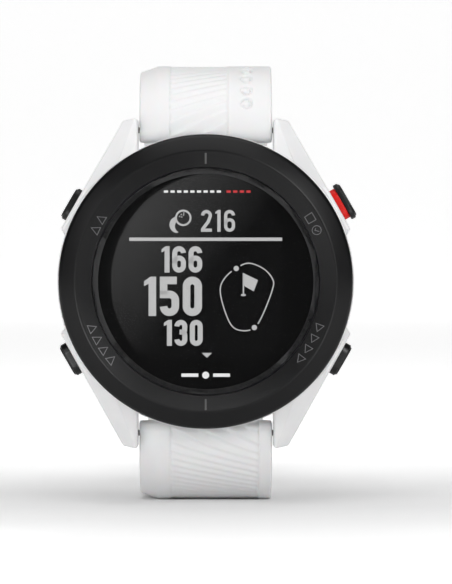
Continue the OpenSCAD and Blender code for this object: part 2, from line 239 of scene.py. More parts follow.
def siliconeFinish(name, colour):
    # moulded silicone: soft sheen, satin skin, a trace of dust in scattered specks
    f = Finish(name, Sheen_Weight=0.15, Sheen_Roughness=0.5, Subsurface_Weight=0.12,
               Subsurface_Scale=0.002, Specular_IOR_Level=0.42)
    skin = f.noise(0.09, 2)
    patch = f.noise(5, 5)
    dust = f.node("ShaderNodeTexVoronoi", None, {"Vector": f.place, "Scale": 1 / (1.1 * mm)})
    specks = (dust < 0.045) * f.noise(3, 2)
    clean = f.blend(patch, scaled(colour, 0.97), colour)
    f.set("Base Color", f.blend(specks * 0.35, clean, scaled(colour, 0.8)))
    f.set("Roughness", 0.5 + 0.14 * patch)
    f.relief(skin + patch * 0.2, 0.005)
    return f.material


def metalFinish(name, colour, rough, along=(1, 60, 60), depth=0.002, **more):
    # drawn or brushed metal: fine lines along one direction, small knocks
    f = Finish(name, Metallic=1.0, **more)
    lines = f.noise(1.6, 4, f.stretch(along))
    knocks = f.noise(1.1, 6)
    f.set("Base Color", f.blend(knocks, scaled(colour, 0.9), colour))
    f.set("Roughness", rough - 0.07 + 0.16 * lines + 0.06 * knocks)
    f.relief(lines + knocks * 0.25, depth)
    return f.material


def glassFinish():
    # flat mineral glass: nearly clear, with the faintest smears in its gloss
    f = Finish("lensGlass", Base_Color=(0.002, 0.002, 0.002), IOR=1.5, Specular_IOR_Level=0.5)
    smear = f.noise(6, 3, f.stretch((1, 1, 1.7)))
    f.set("Roughness", 0.015 + 0.03 * smear)
    f.set("Alpha", 0.05 + 0.01 * smear)
    return f.material


def inkFinish():
    # black ink printed on the back of the glass
    f = Finish("maskInk", Coat_Weight=1.0, Coat_Roughness=0.015, Specular_IOR_Level=0.05)
    grain = f.noise(0.15, 2)
    f.set("Base Color", f.blend(grain, (0.0012, 0.0012, 0.0013), (0.002, 0.002, 0.0022)))
    f.set("Roughness", 0.5 + 0.1 * grain)
    return f.material


def screenFinish(pitch):
    # dark reflective display: a grid of square cells with thin gaps
    f = Finish("screenDark", Coat_Weight=1.0, Coat_Roughness=0.015, Specular_IOR_Level=0.05)
    cell = pitch * mm
    across = (f.axis("X") % cell) / cell
    up = (f.axis("Z") % cell) / cell
    gap = 1 - (across > 0.12) * (up > 0.12)
    f.set("Base Color", f.blend(gap, (0.0042, 0.0042, 0.0045), (0.0022, 0.0022, 0.0024)))
    f.set("Roughness", 0.5 + 0.12 * gap)
    return f.material


def litFinish(name, colour, glow, pitch=0.13):
    # switched-on cells of the display or a printed mark, drawn with a painted glow though they are no lamp:
    # even, with the cell grid just visible
    f = Finish(name, Emission_Strength=1.0)
    cell = pitch * mm
    gap = 1 - ((f.axis("X") % cell) / cell > 0.1) * ((f.axis("Z") % cell) / cell > 0.1)
    mottle = f.noise(0.4, 2)
    f.set("Base Color", scaled(colour, 0.4))
    dark = gap * 0.4 + mottle * 0.1
    f.set("Emission Color", f.blend(dark, scaled(colour, glow), scaled(colour, glow * 0.7)))
    f.set("Roughness", 0.4 + 0.2 * mottle)
    return f.material


def boardFinish():
    # solder mask with copper tracks showing under it
    f = Finish("boardMask", Coat_Weight=0.4, Coat_Roughness=0.15)
    tracks = f.node("ShaderNodeTexVoronoi", {"distance": "MANHATTAN", "feature": "F1"},
                    {"Vector": f.place, "Scale": 1 / (1.6 * mm)})
    track = (tracks % 0.22) < 0.07
    f.set("Base Color", f.blend(track, (0.01, 0.075, 0.03), (0.03, 0.16, 0.07)))
    f.set("Roughness", 0.34 + 0.15 * f.noise(0.6, 3))
    f.relief(track, 0.02)
    return f.material


def foamFinish():
    f = Finish("padFoam")
    cells = f.node("ShaderNodeTexVoronoi", None, {"Vector": f.place, "Scale": 1 / (0.28 * mm)})
    f.set("Base Color", f.blend(cells, (0.62, 0.55, 0.16), (0.85, 0.79, 0.33)))
    f.set("Roughness", 0.8 + 0.15 * cells)
    f.relief(cells, 0.05)
    return f.material


def foilFinish():
    # crinkled pouch foil of the cell
    f = Finish("cellFoil", Metallic=0.9)
    crinkle = f.noise(1.8, 6)
    f.set("Base Color", f.blend(crinkle, (0.42, 0.43, 0.45), (0.66, 0.67, 0.69)))
    f.set("Roughness", 0.3 + 0.25 * crinkle)
    f.relief(crinkle, 0.08)
    return f.material


finishes = {
    "bezel": turnedFinish("bezelPolymer", (0.0048, 0.0048, 0.0052), 0.33, 16.9, 19.15),
    "lens": glassFinish(),
    "seal": mouldedFinish("sealRubber", (0.02, 0.02, 0.021), 0.72, 0.2, 0.01),
    "mask_ink": inkFinish(),
    "display": screenFinish(0.13),
    "light_guide": mouldedFinish("guideSheet", (0.8, 0.84, 0.86), 0.2, 0.3, 0.002, 0.05, 0.4),
    "flex": mouldedFinish("flexFilm", (0.5, 0.2, 0.03), 0.28, 0.5, 0.004, 0.1, 0.5),
    "frame_plastic": mouldedFinish("framePolymer", (0.5, 0.5, 0.52), 0.5, 0.15, 0.006),
    "board": boardFinish(),
    "shield": metalFinish("shieldTin", (0.62, 0.62, 0.6), 0.34, (1, 1, 30)),
    "battery": foilFinish(),
    "pad": foamFinish(),
    "case": mouldedFinish("casePolymer", (0.8, 0.8, 0.805), 0.36, 0.14, 0.003, 0.08, 0.1,
                          Coat_Roughness=0.3, Subsurface_Weight=0.05, Subsurface_Scale=0.001),
    "rear_cover": mouldedFinish("rearPolymer", (0.025, 0.025, 0.027), 0.46, 0.16, 0.006, 0.1),
    "fastener": metalFinish("fastenerSteel", (0.58, 0.57, 0.56), 0.3, (30, 30, 1)),
    "gold": metalFinish("contactGold", (0.95, 0.68, 0.28), 0.22, (8, 8, 8)),
    "switch": mouldedFinish("switchPolymer", (0.05, 0.05, 0.05), 0.45, 0.2, 0.005),
    "button": mouldedFinish("buttonPolymer", (0.006, 0.006, 0.0065), 0.34, 0.1, 0.003, 0.06,
                            Specular_IOR_Level=0.3),
    "collar": mouldedFinish("collarRed", (0.72, 0.008, 0.004), 0.34, 0.12, 0.003, 0.06,
                            Specular_IOR_Level=0.2),
    "strap": siliconeFinish("strapSilicone", (0.79, 0.79, 0.795)),
    "bar_steel": metalFinish("barSteel", (0.56, 0.55, 0.54), 0.26, (1, 50, 50)),
    "buckle_steel": metalFinish("buckleSteel", (0.66, 0.655, 0.65), 0.27, (1, 45, 45), 0.003),
}
# painted light: the display cells, the bezel ticks and the printed marks below glow with their own light
litGrey = litFinish("litCells", (0.5, 0.5, 0.5), 0.66)
tickGrey = litFinish("tickGrey", (0.07, 0.07, 0.07), 0.6)
markWhite = litFinish("markWhite", (0.85, 0.85, 0.85), 0.66, 0.5)
markRed = litFinish("markRed", (0.6, 0.01, 0.015), 0.66, 0.5)
engraved = mouldedFinish("engravedGrey", (0.11, 0.11, 0.115), 0.5, 0.1, 0.004)
print("finishes made", len(finishes))


def meshObject(name, verts, faces, material, fresh=True):
    mesh = bpy.data.meshes.new(name)
    mesh.from_pydata([tuple(v) for v in verts], [], faces)
    if fresh:
        b = bmesh.new()
        b.from_mesh(mesh)
        bmesh.ops.remove_doubles(b, verts=b.verts, dist=0.002 * mm)
        bmesh.ops.recalc_face_normals(b, faces=b.faces)
        b.to_mesh(mesh)
        b.free()
    mesh.materials.append(material)
    piece = bpy.data.objects.new(name, mesh)
    bpy.context.collection.objects.link(piece)
    return piece


def smooth(piece, degrees=35):
    mesh = piece.data
    mesh.polygons.foreach_set("use_smooth", [True] * len(mesh.polygons))
    mesh.set_sharp_from_angle(angle=math.radians(degrees))
    return piece


def levelled(piece):
    # wide faces keep their own normals and the small ones beside them do the turning
    mod = piece.modifiers.new("level", "WEIGHTED_NORMAL")
    mod.weight = 100
    mod.keep_sharp = True
    graph = bpy.context.evaluated_depsgraph_get()
    made = bpy.data.meshes.new_from_object(piece.evaluated_get(graph), depsgraph=graph)
    piece.modifiers.remove(mod)
    piece.data = made
    return piece


def bodyOf(node):
    bodies = frame["record"]["behaviour"]["bodies"]
    return next(name for name, nodes in bodies.items() if node in nodes)


def slotOf(node):
    return next(s["material_slot"] for s in frame["record"]["subparts"] if s["node"] == node)


def settle(piece, body, slot, *nodes):
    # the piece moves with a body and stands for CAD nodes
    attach(piece, body)
    if nodes:
        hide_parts(*nodes)
    return piece


def softened(node, name, width=0.0, angle=30):
    # the CAD solid with its edges broken by a small radius and its round faces shaded smooth
    b = bmesh.new()
    b.from_mesh(frame["nodes"][node].data)
    bmesh.ops.remove_doubles(b, verts=b.verts, dist=0.0005 * mm)
    bmesh.ops.dissolve_limit(b, angle_limit=math.radians(0.6), verts=b.verts, edges=b.edges)
    if width:
        limit = math.radians(angle)
        sharp = [e for e in b.edges if len(e.link_faces) == 2 and e.calc_face_angle(0) > limit]
        bmesh.ops.bevel(b, geom=sharp, offset=width * mm, segments=2, profile=0.5,
                        affect="EDGES", clamp_overlap=True, offset_type="OFFSET")
        bmesh.ops.remove_doubles(b, verts=b.verts, dist=0.0005 * mm)
    bmesh.ops.triangulate(b, faces=b.faces)
    mesh = bpy.data.meshes.new(name)
    b.to_mesh(mesh)
    b.free()
    slot = slotOf(node)
    mesh.materials.append(finishes[slot])
    piece = bpy.data.objects.new(name, mesh)
    bpy.context.collection.objects.link(piece)
    levelled(smooth(piece, 40))
    return settle(piece, bodyOf(node), slot, node)


# the CAD nodes keep their shape and take their finish
for node, obj in frame["nodes"].items():
    obj.data.materials.clear()
    obj.data.materials.append(finishes[slotOf(node)])
print("CAD nodes painted")


frontBezel = {
    "rings": 256,
    "outer": 21.85, "crest": 19.3, "inner": 16.85,
    "seatLevel": 8.2, "edgeLevel": 9.8, "crestLevel": 11.5, "lensLevel": 10.45,
    "soft": 0.22,            # rounding of its edges
    "tick": (17.4, 19.0, 0.27),
    "line": 0.095,           # width of the engraved outlines
    "up": 152, "ok": 28, "down": 211, "back": -31,      # where the marks stand, in degrees from 3 o'clock
}


def arcPoints(cx, cy, r, a0, a1, n):
    return [(cx + r * math.cos(math.radians(a0 + (a1 - a0) * i / n)),
             cy + r * math.sin(math.radians(a0 + (a1 - a0) * i / n))) for i in range(n + 1)]


def roundedProfile(points, radius, n=4):
    # a closed outline with every corner turned into a small arc
    out = []
    for i, p in enumerate(points):
        a, b = Vector(points[i - 1]), Vector(points[(i + 1) % len(points)])
        p = Vector(p)
        cut = min(radius, (a - p).length * 0.4, (b - p).length * 0.4)
        start, end = p + (a - p).normalized() * cut, p + (b - p).normalized() * cut
        for k in range(n + 1):
            t = k / n
            out.append(tuple((1 - t) ** 2 * start + 2 * t * (1 - t) * p + t ** 2 * end))
    return out


def lathe(name, outline, rings, material):
    # an outline of (radius, level) turned round the axis that runs through the middle of the face
    verts, faces, n = [], [], len(outline)
    for k in range(rings):
        a = 2 * math.pi * k / rings
        verts += [(r * mm * math.cos(a), -level * mm, r * mm * math.sin(a)) for r, level in outline]
    for k in range(rings):
        for i in range(n):
            a, b = k * n, (k + 1) % rings * n
            faces.append((a + i, a + (i + 1) % n, b + (i + 1) % n, b + i))
    return meshObject(name, verts, faces, material)


def makeBezel(v):
    profile = [(15.9, 8.2), (15.9, 9.0), (16.85, 9.0), (v["inner"], v["lensLevel"]),
               (v["crest"] - 0.12, v["crestLevel"] - 0.02), (v["crest"] + 0.12, v["crestLevel"] - 0.02),
               (v["outer"] - 0.35, 10.25), (v["outer"], v["edgeLevel"]), (v["outer"], v["seatLevel"] + 0.05),
               (20.3, v["seatLevel"]), (20.3, 7.45), (19.2, 7.45), (19.2, 8.2)]
    piece = lathe("bezelRing", roundedProfile(profile, v["soft"]), v["rings"], finishes["bezel"])
    smooth(piece, 50)
    return settle(piece, "head", "bezel", "bezel")


def ribbon(points, width, closed=False):
    # left and right edge of a flat line through the points
    pts = []
    for p in points:
        if not pts or (Vector(p) - pts[-1]).length > 0.01:
            pts.append(Vector(p))
    if closed and (pts[0] - pts[-1]).length < 0.01:
        pts.pop()
    n = len(pts)
    left, right = [], []
    for i, p in enumerate(pts):
        before = pts[i - 1] if closed or i else None
        after = pts[(i + 1) % n] if closed or i < n - 1 else None
        d0 = (p - before).normalized() if before is not None else (after - p).normalized()
        d1 = (after - p).normalized() if after is not None else d0
        d = (d0 + d1).normalized()
        side = Vector((-d.y, d.x)) * width / 2 / max(0.5, d.dot(d1))
        left.append(p + side)
        right.append(p - side)
    return left, right


def flatShape(shapes, place, thick=0.03):
    # ribbons and filled outlines as thin closed slabs; place() carries (x, z, height) into the frame
    verts, faces = [], []
    for kind, *data in shapes:
        base = len(verts)
        if kind == "line":
            points, width, closed = data
            left, right = ribbon(points, width, closed)
            n = len(left)
            for h in (0, thick):
                verts += [place(p.x, p.y, h) for p in left] + [place(p.x, p.y, h) for p in right]
            spans = range(n if closed else n - 1)
            for i in spans:
                j = (i + 1) % n
                lo, hi = base, base + 2 * n
                faces += [(hi + i, hi + j, hi + n + j, hi + n + i), (lo + i, lo + n + i, lo + n + j, lo + j),
                          (lo + i, lo + j, hi + j, hi + i), (lo + n + i, hi + n + i, hi + n + j, lo + n + j)]
            if not closed:
                for i in (0, n - 1):
                    lo, hi = base, base + 2 * n
                    faces.append((lo + i, hi + i, hi + n + i, lo + n + i))
        else:
            outline, = data
            n = len(outline)
            for h in (0, thick):
                verts += [place(x, y, h) for x, y in outline]
            faces += [tuple(base + n + i for i in range(n)), tuple(base + i for i in reversed(range(n)))]
            for i in range(n):
                j = (i + 1) % n
                faces.append((base + i, base + j, base + n + j, base + n + i))
    return verts, faces


def onFace(level):
    return lambda x, y, h: (x * mm, -(level + h) * mm, y * mm)


def onCone(v):
    # x runs round the bezel from 3 o'clock in mm at mid width, y outwards across the inner slope
    middle = (v["inner"] + v["crest"]) / 2
    rise = (v["crestLevel"] - 0.02 - v["lensLevel"]) / (v["crest"] - 0.12 - v["inner"])

    def place(centre, turned):
        def inner(x, y, h):
            s = -1 if turned else 1
            a = math.radians(centre) - s * x / middle
            r = middle + s * y
            level = v["lensLevel"] + (r - v["inner"]) * rise + h - 0.006
            return (r * mm * math.cos(a), -level * mm, r * mm * math.sin(a))
        return inner
    return place


def markPiece(name, shapes, place, material, body, slot, thick=0.03):
    verts, faces = flatShape(shapes, place, thick)
    piece = meshObject(name, verts, faces, material, False)
    b = bmesh.new()
    b.from_mesh(piece.data)
    bmesh.ops.recalc_face_normals(b, faces=b.faces)
    bmesh.ops.triangulate(b, faces=b.faces)
    b.to_mesh(piece.data)
    b.free()
    return settle(piece, body, slot)


def chevron(x, w=1.25, h=1.2):
    # an outlined arrow head
    return ("line", [(x - w / 2, -h / 2), (x, h / 2), (x + w / 2, -h / 2)], 0, True)


def makeBezelMarks(v):
    cone = onCone(v)
    line = v["line"]

    def fit(shapes):
        return [(s[0], s[1], line, s[3]) if s[0] == "line" else s for s in shapes]

    up = [chevron(x) for x in (-0.9, 0.9)]
    down = [chevron(x) for x in (-2.7, -0.9, 0.9, 2.7)]
    ok = [("line", arcPoints(0, 0, 0.66, 0, 345, 22), 0, True),
          ("line", [(-0.3, 0.02), (-0.08, -0.24), (0.34, 0.28)], 0, False)]
    ok = [(k, [(x + 1.0, y) for x, y in p], w, c) for k, p, w, c in ok] + [
        ("line", [(-1.6, -0.62), (-0.4, -0.62), (-0.4, 0.62), (-1.6, 0.62)], 0, True)]
    back = [("line", [(x + 0.55, -0.62), (x - 0.55, 0), (x + 0.55, 0.62)], 0, True)
            for x in (-2.7, -0.9, 0.9, 2.7)]
    for name, key, shapes, turned in (("markUp", "up", up, False), ("markOk", "ok", ok, False),
                                      ("markDown", "down", down, True), ("markBack", "back", back, True)):
        markPiece(name, fit(shapes), cone(v[key], turned), engraved, "head", "bezel", 0.014)
    low, high, width = v["tick"]
    middle = (v["inner"] + v["crest"]) / 2
    for name, centre in (("tickTop", 90), ("tickBottom", 270)):
        tick = [("line", [(0, low - middle), (0, high - middle)], width, False)]
        markPiece(name, tick, cone(centre, False), tickGrey, "head", "bezel", 0.016)


makeBezel(frontBezel)
makeBezelMarks(frontBezel)
print("bezel made")


def digitStrokes(d, w, t):
    # strokes of a digit in a box w wide and 1 high, t being half the stroke; "fill" gives an outline
    r = min(w * 0.5, 0.26)
    low = 0.56       # top of the lower bowl

    def loop(bottom, top):
        return (arcPoints(w - r, bottom + r, r, -90, 0, 6) + arcPoints(w - r, top - r, r, 0, 90, 6)
                + arcPoints(r, top - r, r, 90, 180, 6) + arcPoints(r, bottom + r, r, 180, 270, 6))

    if d == "0":
        return [("line", loop(0, 1), True)]
    if d == "1":
        flag = w - t * 2.2      # reach of the short stroke at its top
        return [("fill", [(w - t, -t), (w + t, -t), (w + t, 1 + t), (w - t * 0.5, 1 + t),
                          (flag, 1 - t * 0.2), (flag, 1 - t * 1.5), (w - t, 1 - t * 0.9)], True)]
    if d == "2":
        return [("line", arcPoints(r, 1 - r, r, 180, 90, 6) + arcPoints(w - r, 1 - r, r, 90, -20, 8)
                 + [(w * 0.74, 0.46), (0.0, t * 0.6)], False), ("line", [(-t, 0), (w + t, 0)], False)]
    if d == "3":
        return [("line", arcPoints(r, 1 - r, r, 180, 90, 6) + arcPoints(w - r, 1 - r, r, 90, 0, 6)
                 + arcPoints(w - r, low + r * 0.62, r, -20, -80, 4), False),
                ("line", arcPoints(w - r, low - r, r, 80, 0, 6) + arcPoints(w - r, r, r, 0, -90, 6)
                 + arcPoints(r, r, r, 270, 180, 6), False),
                ("line", [(w * 0.34, low - 0.02), (w * 0.66, low - 0.02)], False)]
    if d == "5":
        return [("line", [(w + t * 0.4, 1), (0, 1), (0, low)], False),
                ("line", [(-t, low)] + arcPoints(w - r, low - r, r, 90, 0, 6)
                 + arcPoints(w - r, r, r, 0, -90, 6) + arcPoints(r, r, r, 270, 180, 6), False)]
    return [("line", loop(0, low), True), ("line", [(0, 0.3)] + arcPoints(r, 1 - r, r, 180, 90, 6)
                                           + arcPoints(w - r, 1 - r, r, 90, 0, 6), False)]


def number(text, left, right, bottom, top, stroke, gap):
    # digits that fill a box, with the given stroke width; a one is narrow and the others share the rest
    height = top - bottom - stroke
    ones = text.count("1")
    narrow = 1.6 * stroke
    wide = (right - left - gap * (len(text) - 1) - narrow * ones) / (len(text) - ones)
    shapes, x = [], left
    for c in text:
        width = narrow if c == "1" else wide
        for kind, points, closed in digitStrokes(c, (width - stroke) / height, stroke / 2 / height):
            placed = [(x + stroke / 2 + px * height, bottom + stroke / 2 + py * height) for px, py in points]
            shapes.append(("line", placed, stroke, closed) if kind == "line" else ("fill", placed))
        x += width + gap
    return shapes


def smoothLoop(points, n=8):
    # a closed curve through the points
    out, m = [], len(points)
    for i in range(m):
        p = [Vector(points[(i + k) % m]) for k in (-1, 0, 1, 2)]
        for k in range(n):
            t = k / n
            square = (2 * p[0] - 5 * p[1] + 4 * p[2] - p[3]) * t ** 2
            cube = (3 * p[1] - p[0] - 3 * p[2] + p[3]) * t ** 3
            out.append(tuple(0.5 * (2 * p[1] + (p[2] - p[0]) * t + square + cube)))
    return out


screen = {
    "level": 9.105,
    "bar": (-11.35, 11.35, 6.27, 0.5),
    # text, left, right, bottom, top, stroke and gap
    "rows": (("216", -0.7, 4.35, 7.38, 10.62, 0.48, 0.52), ("166", -6.55, -0.52, 1.33, 5.24, 0.74, 0.4),
             ("150", -9.15, -0.55, -5.12, 0.72, 1.12, 0.55), ("130", -6.2, -0.45, -9.55, -5.7, 0.74, 0.38)),
    "green": ((4.5, 1.95), (6.4, 2.72), (8.65, 1.85), (9.95, 0.3), (9.9, -1.2), (8.5, -4.85), (7.25, -6.85),
              (5.5, -7.3), (3.9, -6.6), (2.75, -4.1), (2.15, -1.2), (2.9, 0.6)),
    "greenLine": 0.17,
    "dots": ((4.54, 1.93), (7.22, -6.83)),
    "dot": 0.39,
    "pole": (5.6, 1.25, -2.0),
    "ball": (-3.33, 9.45, 1.08, 0.28),
    "pointer": (0.18, -10.6, 1.5, 0.72),
}


def makeScreen(v):
    place = onFace(v["level"])
    left, right, z, thick = v["bar"]
    bar = [("line", [(left, z), (right, z)], thick, False)]
    markPiece("screenBar", bar, place, litGrey, "head", "display")
    for i, row in enumerate(v["rows"]):
        markPiece("screenNumber%d" % (i + 1), number(*row), place, litGrey, "head", "display")
    loop = smoothLoop(v["green"])
    keep = [p for p in loop if all((Vector(p) - Vector(d)).length > v["dot"] * 1.7 for d in v["dots"])]
    starts = [i for i in range(len(keep)) if (Vector(keep[i]) - Vector(keep[i - 1])).length > v["dot"] * 2]
    pieces = [keep[a:b] for a, b in zip(starts, starts[1:])] + [keep[starts[-1]:] + keep[:starts[0]]]
    shapes = [("line", p, v["greenLine"], False) for p in pieces if len(p) > 1]
    shapes += [("fill", arcPoints(x, z, v["dot"], 0, 345, 23)) for x, z in v["dots"]]
    x, top, bottom = v["pole"]
    shapes.append(("line", [(x, bottom), (x, top)], 0.2, False))
    shapes.append(("fill", [(x, top), (x + 2.15, top - 1.05), (x + 1.54, top - 2.7), (x + 0.27, top - 2.0),
                            (x, top - 1.75)]))
    shapes.append(("fill", [(x + 0.38 * a, bottom + 0.17 * b) for a, b in arcPoints(0, 0, 1, 0, 345, 23)]))
    px, pz, w, h = v["pointer"]
    shapes.append(("fill", [(px - w / 2, pz), (px, pz - h), (px + w / 2, pz)]))
    # a dimpled ball with a tail behind it
    bx, bz, r, line = v["ball"]
    shapes.append(("line", arcPoints(bx, bz, r, 0, 345, 23), line, True))
    shapes += [("fill", arcPoints(bx + a, bz + b, 0.1, 0, 315, 7))
               for a, b in ((-0.55, 0.2), (-0.3, 0.5), (-0.22, 0.12), (0.05, 0.42), (0.08, 0.72))]
    shapes.append(("fill", arcPoints(bx - r * 0.75, bz - r * 0.95, r * 1.15, 112, 262, 14)
                   + arcPoints(bx - r * 0.25, bz - r * 1.15, r * 0.9, 245, 128, 12)))
    markPiece("screenDrawing", shapes, place, litGrey, "head", "display")


glassMarks = {"level": 9.187, "top": 13.35, "pitch": 0.98, "dash": 0.62, "bottom": -13.9}


def makeGlassMarks(v):
    # the black print behind the glass, and plain marks on it
    printed = softened("lens_mask", "maskPrint")
    for point in printed.data.vertices:
        if point.co.y < -9.15 * mm:
            point.co.y = -9.185 * mm    # clear of the glass
    place = onFace(v["level"])
    z = v["top"]

    def dashes(first, count):
        return [("line", [(first + v["pitch"] * i, z), (first + v["pitch"] * i + v["dash"], z)], 0.34, False)
                for i in range(count)]

    markPiece("faceMarkWhite", dashes(-6.2, 9), place, markWhite, "head", "mask_ink", 0.01)
    markPiece("faceMarkRed", dashes(3.1, 4), place, markRed, "head", "mask_ink", 0.01)
    z = v["bottom"]
    ball = [("fill", arcPoints(0, z, 0.52, 0, 345, 23))]
    ball += [("line", [(s * 1.1, z), (s * 3.6, z)], 0.5, False) for s in (-1, 1)]
    markPiece("faceMarkLower", ball, place, markWhite, "head", "mask_ink", 0.01)


makeScreen(screen)
makeGlassMarks(glassMarks)
print("display drawn")


strapCommon = {
    "half": 9.95, "thick": 2.6, "heel": 1.9,
    "barLevel": 3.2, "barPitch": 22.7,
    "bevel": 2.8, "drop": 0.95,     # long chamfer down the left edge
    "edge": 0.4, "innerEdge": 0.45,
    "ribRise": 0.25, "ribCoarse": 0.5, "ribFine": 0.65, "ribDepth": 0.42,    # ribs per mm across and along
    "step": 0.17,                   # spacing of the mesh along the strap
    "bore": 0.92, "lever": (3.2, 7.8, 0.75),        # bore for the bar, window for its lever
    "pinBore": 0.78, "notch": (2.6, 2.6, 3.4),      # bore for the buckle pin, notch for the tongue
    "past": 12,                     # bores run past both sides
}
upperHalf = {
    "name": "strapUpper", "side": 1, "cad": ("upper_strap",), "body": "upper_band",
    "bend": 10.1, "stretches": ((31.42, 60.0), (33.0, None)), "end": 1.7,
    "panel": (-5.45, 3.4), "ribEnd": 50.0, "ribFade": 3.0, "dimples": (6.1, 0.85, 5, 2.15, 3.6),
}
lowerHalf = {
    "name": "strapLower", "side": -1, "cad": ("lower_strap",), "body": "lower_band",
    "bend": 10.4, "stretches": ((44.0, None), (55.85, 50.0)), "end": 0.0,
    "panel": (-5.4, 8.0), "ribEnd": 108.0, "ribFade": 1.6, "dimples": (0, 0.5, 0, 1, 0),
    "slots": (15, 2.6, 5.6, 5.9, 2.4), "tip": 5.0,
}


def strapStations(v, c):
    # middle line of a half from its bar: (along, y, rise from the centre, turn in radians)
    front = -c["barLevel"] - c["heel"]
    y, w, turn, s = front + c["thick"] / 2, c["barPitch"], 0.0, 0.0
    r = v["bend"] - c["thick"] / 2
    out = [(0.0, y, w, 0.0)]
    for length, radius in ((r * math.pi / 2, r), *v["stretches"]):
        n = max(2, round(length / c["step"]))
        for _ in range(n):
            d = length / n
            half = d / radius / 2 if radius else 0
            turn += half
            y, w, s = y + d * math.sin(turn), w + d * math.cos(turn), s + d
            turn += half
            out.append((s, y, w, turn))
    return out


def acrossPoints(v, c):
    # places across the outer face, close together over the ribs
    half, (left, right) = c["half"], v["panel"]
    spans = ((-half, -half + 0.3, 3), (-half + 0.3, -half + c["bevel"], 5),
             (-half + c["bevel"], left - 0.02, 4),
             (left - 0.02, left + 0.1, 2), (left + 0.1, right - 0.1, round((right - left) / 0.27)),
             (right - 0.1, right + 0.02, 2),
             (right + 0.02, half - c["edge"], max(4, round((half - right) / 0.3))),
             (half - c["edge"], half, 4))
    xs = []
    for a, b, n in spans:
        xs += [a + (b - a) * k / n for k in range(n)]
    return xs + [half]


def outerDrop(x, c):
    # how far the outer face lies under its full height at x
    half = c["half"]
    left = max(0.0, 1 - (x + half) / c["bevel"])
    drop = c["drop"] * left
    if x < -half + 0.3:
        t = 1 - (x + half) / 0.3
        drop += 0.3 * (1 - math.sqrt(max(0, 1 - t * t)))
    if x > half - c["edge"]:
        t = (x - half + c["edge"]) / c["edge"]
        drop += c["edge"] * (1 - math.sqrt(max(0, 1 - t * t)))
    return drop


def innerDrop(x, c):
    t = (abs(x) - c["half"] + c["innerEdge"]) / c["innerEdge"]
    return c["innerEdge"] * (1 - math.sqrt(max(0, 1 - t * t))) if t > 0 else 0.0


